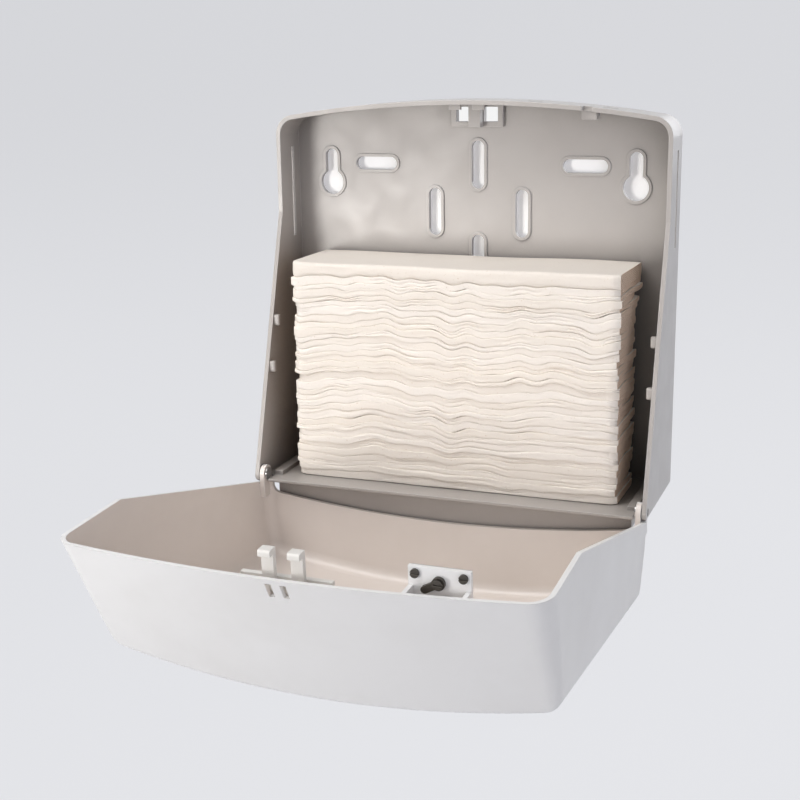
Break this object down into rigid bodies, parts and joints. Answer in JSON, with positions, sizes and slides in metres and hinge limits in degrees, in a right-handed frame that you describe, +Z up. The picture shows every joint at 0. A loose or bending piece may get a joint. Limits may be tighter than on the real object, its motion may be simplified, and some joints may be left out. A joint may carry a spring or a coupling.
{
  "type": "folded paper towel dispenser",
  "caption": "Wall-hung dispenser for folded paper towels, its deep cover swung down on a bottom hinge to show the towel stack on the housing's shelf.",
  "frame": {"origin": "on the wall face of the back panel, in the middle of the housing's width, level with the bottom of its side walls", "axes": "+Z up, +Y into the wall, +X to the right as one faces the dispenser"},
  "size_m": [0.28, 0.3427, 0.3355],
  "materials": {
    "housing_plastic": "satin white moulded plastic",
    "cover_plastic": "satin white moulded plastic",
    "catch_plastic": "fine matt white moulded plastic",
    "towel_paper": "soft unprinted tissue paper",
    "pin_steel": "drawn bright",
    "screw_steel": "zinc plated",
    "lever_steel": "blackened steel"
  },
  "bodies": {
    "housing": {"back_housing": "housing_plastic", "towel_stack": "towel_paper", "hinge_pin_right": "pin_steel", "hinge_pin_left": "pin_steel", "pin_ring_right": "pin_steel", "pin_ring_left": "pin_steel"},
    "cover": {"front_cover": "cover_plastic", "catch_fork": "catch_plastic", "catch_screws": "screw_steel", "lever_pivot": "lever_steel", "lever_washer": "screw_steel", "stop_plate": "screw_steel", "tab_screws": "lever_steel"},
    "lever": {"lock_lever": "lever_steel"}
  },
  "joints": [
    {"name": "cover_hinge", "type": "hinge", "parent": "housing", "child": "cover", "pos_m": [0, -0.082, 0.006], "axis": [-1, 0, 0], "range_deg": [0, 93]},
    {"name": "lever_turn", "type": "hinge", "parent": "cover", "child": "lever", "pos_m": [0.0835, -0.3289, 0.0434], "axis": [0, 0.9986, 0.0523], "range_deg": [0, 118]}
  ]
}
